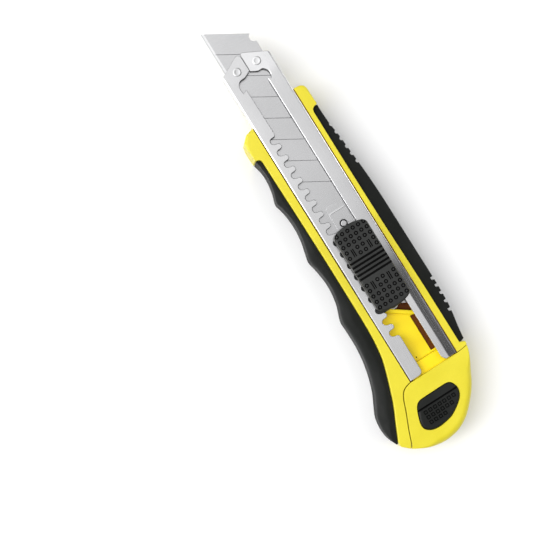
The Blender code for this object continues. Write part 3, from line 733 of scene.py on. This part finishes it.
def magazine_bed():
    """The orange-yellow tray in the rail, with the slanted rib that stops the spare blades."""
    front_y, wall_top, wall = 131.4, 14.5, 0.7
    bed = solid("bed", box_rings((-BED_HALF, BED_HALF), (4.87, front_y), (BED_BOTTOM, BED_TOP)))
    rib_x = (-9.4, 9.4)
    rib = [(x, 26.0 - x * 0.7 - 1.0) for x in rib_x] + [(x, 26.0 - x * 0.7 + 1.0) for x in rib_x[::-1]]
    wall_xs = ((-BED_HALF, wall - BED_HALF), (BED_HALF - wall, BED_HALF))
    walls = [box_rings(xs, (5.2, front_y), (BED_BOTTOM, wall_top)) for xs in wall_xs]
    join(
        bed,
        solid("rib", rounded_rings(rib, (BED_BOTTOM + 0.2, wall_top), 0.1, 0.35, steps=4)),
        solid("walls", *walls),
    )
    cut(
        bed,
        solid("loading_slot", box_rings((3.3, 6.5), (5.6, 21.8), (BED_BOTTOM + 0.1, 15))),
        solid("pin_hole", lathe_rings((-3.2, 6.3), ((0.3, 10), (0.3, 15)))),
        solid("rivet_wells", *[lathe_rings((0, y), ((2.6, 10), (2.6, 13))) for y in RIVET_YS]),
    )
    soften(bed, 0.12)
    dress(bed, BED_YELLOW, "bed_yellow", "handle", "magazine_bed")
    # Painted shade: the floor of the loading slot and the tray ahead of the rib, under the slider, are
    # painted dark brown.
    recolour(bed, BED_PAINTED_SHADE, lambda x, y, z: z < BED_TOP - 0.02 and 3.2 < x < 6.6 and 5.5 < y < 22)
    recolour(bed, BED_PAINTED_SHADE, lambda x, y, z: z < BED_TOP + 0.02 and y > 28)


# ---- Blades ----

def blade(name, node, body):
    """A snap-off blade: two ground faces to the edge, score lines, a bite at each, and a hole."""
    low, high = (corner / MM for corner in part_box(node))
    shift = high.y - REAR / MM - BLADE_TIP_Y
    middle = (low.z + high.z) / 2
    profile = [
        (-9.0, -0.02), (-8.5, -0.11), (-7.8, -0.25), (8.9, -0.25), (9.0, -0.15),
        (9.0, 0.15), (8.9, 0.25), (-7.8, 0.25), (-8.5, 0.11), (-9.0, 0.02),
    ]
    front_y = BLADE_TIP_Y - BLADE_HALF * SLANT
    rings = [[(x, y - x * SLANT, z) for x, z in profile] for y in (front_y - BLADE_LENGTH, front_y)]
    thing = solid(name, rings)
    bites, scores = [], []
    for i in range(SEGMENT_COUNT):
        y = front_y - SEGMENT * i
        bites.append(lathe_rings((BLADE_HALF, y - BLADE_HALF * SLANT - 1.4), ((1.95, -1), (1.95, 1)), 32))
        if i:
            groove = [(0.3 - 0.14, 0.27), (0.3, 0.13), (0.3 + 0.14, 0.27)]
            scores.append([[(x, y + dy - x * SLANT, z) for dy, z in groove] for x in (-12, 12)])
    cut(
        thing,
        solid("bites", *bites),
        solid("scores", *scores),
        solid("hole", lathe_rings((0, BLADE_HOLE_Y), ((1.7, -1), (1.7, 1)))),
    )
    thing.data.transform(Matrix.Translation((0, shift * MM, middle * MM)))
    dress(thing, BLADE_STEEL, "blade_steel", body, node, angle=8)
    recolour(thing, HONED_STEEL, lambda x, y, z: x < -8.5)
    # Darker steel in the score grooves: partly the unpolished cut, partly painted shade.
    recolour(thing, CUT_STEEL_AND_PAINTED_SHADE, lambda x, y, z: middle + 0.15 < z < middle + 0.245 and x > -7.8)


# ---- Slider ----

def slider_carrier():
    """The plate that runs in the rail, with a neck in the slot and two studs for the thumb pad."""
    low, high = CARRIER_BOX
    y_low, y_high = low.y - REAR / MM, high.y - REAR / MM
    plate = [(low.x, y_low), (high.x, y_low), (high.x, y_high), (low.x, y_high)]
    carrier = solid("carrier", rounded_rings(plate, (15.35, 16.45), 0.2, 0.3, steps=3))
    studs = [lathe_rings((0, y), ((1.4, 17), (1.4, 19.1), (1.3, high.z))) for y in STUD_YS]
    join(
        carrier,
        solid("neck", box_rings((-4.6, 4.4), (31, 64), (15.85, 17.25))),
        solid("studs", *studs),
    )
    cut(
        carrier,
        solid("catch_channel", box_rings((-3.8, 4.4), (41.4, 70), (15, 16.4))),
        solid("lock_recess", box_rings((-7.0, -2.2), (36.0, 56.8), (16.45, 17.3))),
    )
    dress(carrier, BLACK_PLASTIC, "black_plastic", "slider", "slider_carrier")


def pad_outline():
    """Straight sides, wide arcs for the ends, and small rounds at the corners."""
    half, y_low, y_high, bulge, corner = PAD_BOX[1].x, 30.6, 64.6, 1.9, 1.1
    radius = (half**2 + bulge**2) / (2 * bulge)
    swing = math.degrees(math.asin((half - corner) / radius))
    front = arc((0, y_high + bulge - radius), radius, 90 - swing, 90 + swing, 14)
    rear = arc((0, y_low - bulge + radius), radius, 270 - swing, 270 + swing, 14)
    loop = [(half, y_high - corner), (half - 0.3, y_high - 0.35)] + front
    loop += [(0.3 - half, y_high - 0.35), (-half, y_high - corner)]
    loop += [(-half, y_low + corner), (0.3 - half, y_low + 0.35)] + rear
    return loop + [(half - 0.3, y_low + 0.35), (half, y_low + corner)]


def thumb_pad():
    """The pad: rows of ring-shaped dimples at both ends, four slots, and ribs across the middle."""
    top = PAD_BOX[1].z
    pad = solid("pad", rounded_rings(pad_outline(), (PAD_BOX[0].z, top), 0.3, 0.9, steps=6))
    slots, rings = [], []
    slot_x, pitch = 3.75, 2.5
    ring = ((0.42, top - 0.45), (0.84, top - 0.45), (0.88, top + 0.2), (0.36, top + 0.2))
    for first_row, slot_ys in ((54.3, (53.8, 57.2)), (31.8, (38.9, 42.3))):
        for middle in (-slot_x - 0.38, -slot_x + 0.38, slot_x - 0.38, slot_x + 0.38):
            slots.append(box_rings((middle - 0.22, middle + 0.22), slot_ys, (top - 0.7, top + 1)))
        for row in range(5):
            y = first_row + pitch * row
            beside_slots = slot_ys[0] - 1 < y < slot_ys[1] + 1
            for x in (-6.25, -slot_x, -1.25, 1.25, slot_x, 6.25):
                if not (beside_slots and abs(x) == slot_x):
                    rings.append(lathe_rings((x, y), ring, steps=16))
    rib_ys = (44.9, 46.7, 48.5, 50.3, 52.1)
    ribs = [box_rings((-9, 9), (y - 0.45, y + 0.45), (top - 0.5, 24)) for y in rib_ys]
    cut(
        pad,
        solid("stud_holes", *[lathe_rings((0, y), ((1.55, 17), (1.55, 19.4))) for y in STUD_YS]),
        solid("slots", *slots),
        solid("ribs", *ribs),
    )
    soften(pad, 0.14)
    cut(pad, solid("dimples", *rings, closed=True))
    dress(pad, BLACK_PLASTIC, "black_plastic", "slider", "thumb_pad")
    # Painted shade: the floors of the dimple rings, slots and ribs are painted near black.
    recolour(pad, GROOVE_PAINTED_SHADE, lambda x, y, z: abs(x) < 7.15 and 30.8 < y < 65.3 and 19.6 < z < top - 0.16)


def catch_spring():
    """A steel tongue with a bent lip at its front and a dimple that drops into the blade's hole."""
    outline = [(-3.4, 41.8), (4.0, 41.8), (4.0, 75.9), (3.3, 76.6), (-2.7, 76.6), (-3.4, 75.9)]
    leaf = solid("catch", flat_rings(outline, 15.3, 15.6))
    pin = [(1.3, 14.95), (1.35, 15.35), (2.0, 15.55), (1.9, 15.66), (0.9, 15.7)]
    moat = ((1.25, 15.5), (1.6, 15.5), (1.7, 15.9), (1.15, 15.9))
    bend = [(73.2, 15.45), (73.3, 15.76), (74.5, 15.5), (74.5, 15.4)]
    join(
        leaf,
        solid("catch_pin", lathe_rings((0, BLADE_HOLE_Y), pin)),
        solid("catch_bend", [[(x, y, z) for y, z in bend] for x in (-3.0, 3.6)]),
    )
    cut(leaf, solid("catch_moat", lathe_rings((0, BLADE_HOLE_Y), moat), closed=True))
    soften(leaf, 0.1, angle=50)
    dress(leaf, SPRING_STEEL, "spring_steel", "catch", "catch_spring")
    # Painted shade: the moat round the dimple is painted near black.
    recolour(
        leaf, GROOVE_PAINTED_SHADE,
        lambda x, y, z: math.hypot(x, y - BLADE_HOLE_Y) < 1.72 and 15.45 < z < 15.58,
    )


# ---- Cap ----

def end_cap():
    """The yellow cap: rounded round the tail, open inside, wrapping under the grip's back panel."""
    seam = [(x + 0.3, y - 0.3) for x, y in CAP_SEAM[:-1]] + [(-24.7, -23.1)]
    tail = [(16.1, 0.2)] + [p for p in smooth(TAIL_SIDE)[:-1] if p[1] < -0.3]
    front = [(11.7, -0.4), (14.1, -0.12)]
    face = front + tail + smooth(seam)[::-1]
    edges = [0.12] * len(front)
    for i in range(len(tail)):
        j = min(i, len(tail) - 1 - i)
        edges.append(min(3.0, 0.05 + 0.06 * j * (j + 1)))
    edges += [0.12] * len(smooth(seam))
    cap = solid("cap", rounded_rings(face, (0.4, BODY_TOP), edges, edges, steps=6))
    tip = [(14.2, -1.0), (15.6, -1.0), (16.5, 1.6), (15.6, 1.95), (14.5, 2.1)]
    join(cap, solid("tip", flat_rings(tip, 0.45, GRIP_BACK)))
    under = shifted([p for p in BACK_PANEL_END if -22 < p[0] < 10], 0.1, -0.4)
    space = [(10.6, -0.6), (10.6, 20), (-40, 20), (-40, -24), (-24.6, -23.6), (-23.6, -21.5)]
    space += [(-22.5, -18.9)] + smooth(under)[::-1]
    cut(
        cap,
        solid("panel_space", flat_rings(space, -1, SHELL_FLOOR_TOP + 0.3)),
        solid("cap_hollow", flat_rings(CAP_HOLLOW, 6.3, 15.0)),
        solid("button_well", flat_rings(smooth_loop(BUTTON), 14, 20)),
    )
    soften(cap, 0.12)
    dress(cap, SHELL_YELLOW, "shell_yellow", "tail_cap", "end_cap")


def cap_guide():
    """The yellow tongue on the cap."""
    low, high = (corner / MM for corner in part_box("cap_guide"))
    ys = (low.y - REAR / MM, high.y - REAR / MM)
    outline = [(low.x, ys[0]), (high.x, ys[0]), (high.x, ys[1]), (low.x, ys[1])]
    guide = solid("cap_tongue", rounded_rings(outline, (low.z, high.z), 0.2, 0.35, steps=4))
    dress(guide, BED_YELLOW, "bed_yellow", "tail_cap", "cap_guide")


def square_ring(x, y, top):
    """A cutter for a square groove round a small square."""
    found = []
    for half, z in ((0.42, top - 0.35), (0.78, top - 0.35), (0.82, top + 0.3), (0.38, top + 0.3)):
        corners = ((-half, -half), (half, -half), (half, half), (-half, half))
        found.append([(x + dx, y + dy, z) for dx, dy in corners])
    return found


def cap_button():
    """The release button: a smooth step at the front, a groove, then rows of small square grooves."""
    head = grown(smooth_loop(BUTTON), -0.3, BUTTON_CENTRE)
    top = 17.4
    button = solid("button", rounded_rings(head, (13.2, top), 0.1, 0.8, steps=5))
    join(button, solid("button_flange", flat_rings(grown(BUTTON, 0.8, BUTTON_CENTRE), 13.1, 14.7)))
    cut(
        button,
        solid("step", box_rings((-20, 6), (-11.4, -5), (top - 0.35, 18))),
        solid("step_line", box_rings((-20, 6), (-12.1, -11.4), (top - 0.9, 18))),
    )
    soften(button, 0.12)
    face = grown(smooth_loop(BUTTON), -2.2, BUTTON_CENTRE)
    places = [(-14.6 + 2.2 * column, -13.7 - 2.2 * row) for row in range(4) for column in range(9)]
    squares = [square_ring(x, y, top) for x, y in places if encloses(face, x, y)]
    cut(button, solid("squares", *squares, closed=True))
    dress(button, BUTTON_BLACK, "black_plastic", "release", "cap_button")
    # Painted shade: the square grooves and the step line are painted near black.
    recolour(button, GROOVE_PAINTED_SHADE, lambda x, y, z: encloses(face, x, y) and y < -11.2 and z < top - 0.1)
    recolour(button, GROOVE_PAINTED_SHADE, lambda x, y, z: -12.1 < y < -11.3 and z < top - 0.4)


# ---- Springs ----

def coil_spring():
    """The coil under the button: a round wire wound between its two ends."""
    low, high = (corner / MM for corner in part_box("cap_button_spring"))
    centre = (low + high) / 2
    wire, turns, steps = 0.35, 4, 24
    radius = (high.x - low.x) / 2 - wire
    rings = []
    for i in range(turns * steps + 1):
        angle = 2 * math.pi * i / steps
        z = low.z + wire + (high.z - low.z - 2 * wire) * i / (turns * steps)
        rings.append([
            (
                centre.x + (radius + dr) * math.cos(angle),
                centre.y - REAR / MM + (radius + dr) * math.sin(angle),
                z + dz,
            )
            for dr, dz in arc((0, 0), wire, 0, 315, 7)
        ])
    coil = solid("button_coil", rings)
    dress(coil, SPRING_STEEL, "spring_steel", "tail_cap", "cap_button_spring")
    shorten(coil)


def lift_spring():
    """The bowed leaf under the spare blades, as the CAD has it."""
    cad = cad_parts["magazine_spring"]
    leaf = bpy.data.objects.new("lift_leaf", cad.data.copy())
    leaf.matrix_world = cad.matrix_world
    bpy.context.scene.collection.objects.link(leaf)
    dress(leaf, SPRING_STEEL, "spring_steel", "handle", "magazine_spring")
    shorten(leaf)


def shorten(spring):
    """Gives the spring its own copy of its mesh."""
    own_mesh(spring)


# ---- Carried-over parts, stage, light and camera ----

def paint(material, *nodes):
    """Gives CAD nodes that stay as they are their material."""
    for name in nodes:
        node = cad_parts[name]
        node.data.materials.clear()
        node.data.materials.append(material)


def floor():
    """A pale floor just under the knife."""
    mesh = bpy.data.meshes.new("floor")
    size, height = 1.6, -0.0002
    bm = bmesh.new()
    corners = [bm.verts.new((x * size, y * size, height)) for x, y in ((-1, -1), (1, -1), (1, 1), (-1, 1))]
    bm.faces.new(corners)
    bm.to_mesh(mesh)
    bm.free()
    thing = bpy.data.objects.new("floor", mesh)
    bpy.context.scene.collection.objects.link(thing)
    material, nodes, links = new_material("pale_floor")
    shader = nodes["Principled BSDF"]
    set_inputs(shader, Roughness=0.9, Specular_IOR_Level=0.1)
    tone = ramp(nodes, links, noise(nodes, links, 8), [(0.3, 0.90), (0.7, 0.93)])
    links.new(tone, shader.inputs["Base Color"])
    mesh.materials.append(material)


def softbox(name, place, size, power, mirrored):
    """An area light that faces the origin; steel mirrors it only when asked."""
    light = bpy.data.lights.new(name, "AREA")
    light.shape = "RECTANGLE"
    light.size, light.size_y = size
    light.energy = power
    thing = bpy.data.objects.new(name, light)
    thing.location = place
    thing.rotation_euler = (-Vector(place)).to_track_quat("-Z", "Y").to_euler()
    thing.visible_glossy = mirrored
    bpy.context.scene.collection.objects.link(thing)


def studio():
    """Wide soft lights above, a strip low on each side, and a room that is bright towards the nose."""
    softbox("key", (-0.60, 0.25, 1.00), (0.9, 1.2), 8, False)
    softbox("fill", (0.80, -0.30, 0.90), (0.9, 1.2), 5, False)
    softbox("left_strip", (-0.95, 0.25, 0.50), (0.35, 1.4), 5.0, True)
    softbox("right_strip", (0.95, 0.10, 0.26), (0.16, 1.2), 1.6, True)
    world = bpy.data.worlds.new("studio")
    world.use_nodes = True
    nodes, links = world.node_tree.nodes, world.node_tree.links
    place = nodes.new("ShaderNodeTexCoord")
    towards = nodes.new("ShaderNodeVectorMath")
    towards.operation = "DOT_PRODUCT"
    towards.inputs[1].default_value = Vector((-0.35, 0.42, 0.84)).normalized()
    links.new(place.outputs["Generated"], towards.inputs[0])
    stops = [
        (0.0, 0.14), (0.12, 0.30), (0.25, 0.28), (0.40, 0.02), (0.61, 0.03),
        (0.73, 0.38), (0.80, 0.57), (0.87, 0.74), (0.97, 0.95),
    ]
    sky = ramp(nodes, links, towards.outputs["Value"], stops)
    links.new(sky, nodes["Background"].inputs["Color"])
    nodes["Background"].inputs["Strength"].default_value = 1.5
    bpy.context.scene.world = world


def camera():
    lens = bpy.data.cameras.new("camera")
    lens.lens, lens.sensor_width = 78.545, 36
    lens.clip_start, lens.clip_end = 0.01, 20
    thing = bpy.data.objects.new("camera", lens)
    thing.location = (-0.06802, 0.00722, 0.49271)
    thing.rotation_euler = [math.radians(a) for a in (2.001, -3.494, -31.944)]
    bpy.context.scene.collection.objects.link(thing)
    bpy.context.scene.camera = thing


camera()
bpy.context.scene.view_settings.view_transform = "Standard"
studio()
floor()

handle_shell()
rubber_grip()
rail()
nose_guide()
magazine_bed()
blade("front_blade", "blade", "slider")
blade("spare_front", "spare_blade_1", "spares")
blade("spare_rear", "spare_blade_2", "spares")
slider_carrier()
thumb_pad()
catch_spring()
end_cap()
cap_guide()
cap_button()
coil_spring()
lift_spring()
paint(RAIL_STEEL, "rail_rivet_1", "rail_rivet_2")
paint(SPRING_STEEL, "lock_spring")
paint(BLACK_PLASTIC, "follower_plate", "cap_latch")
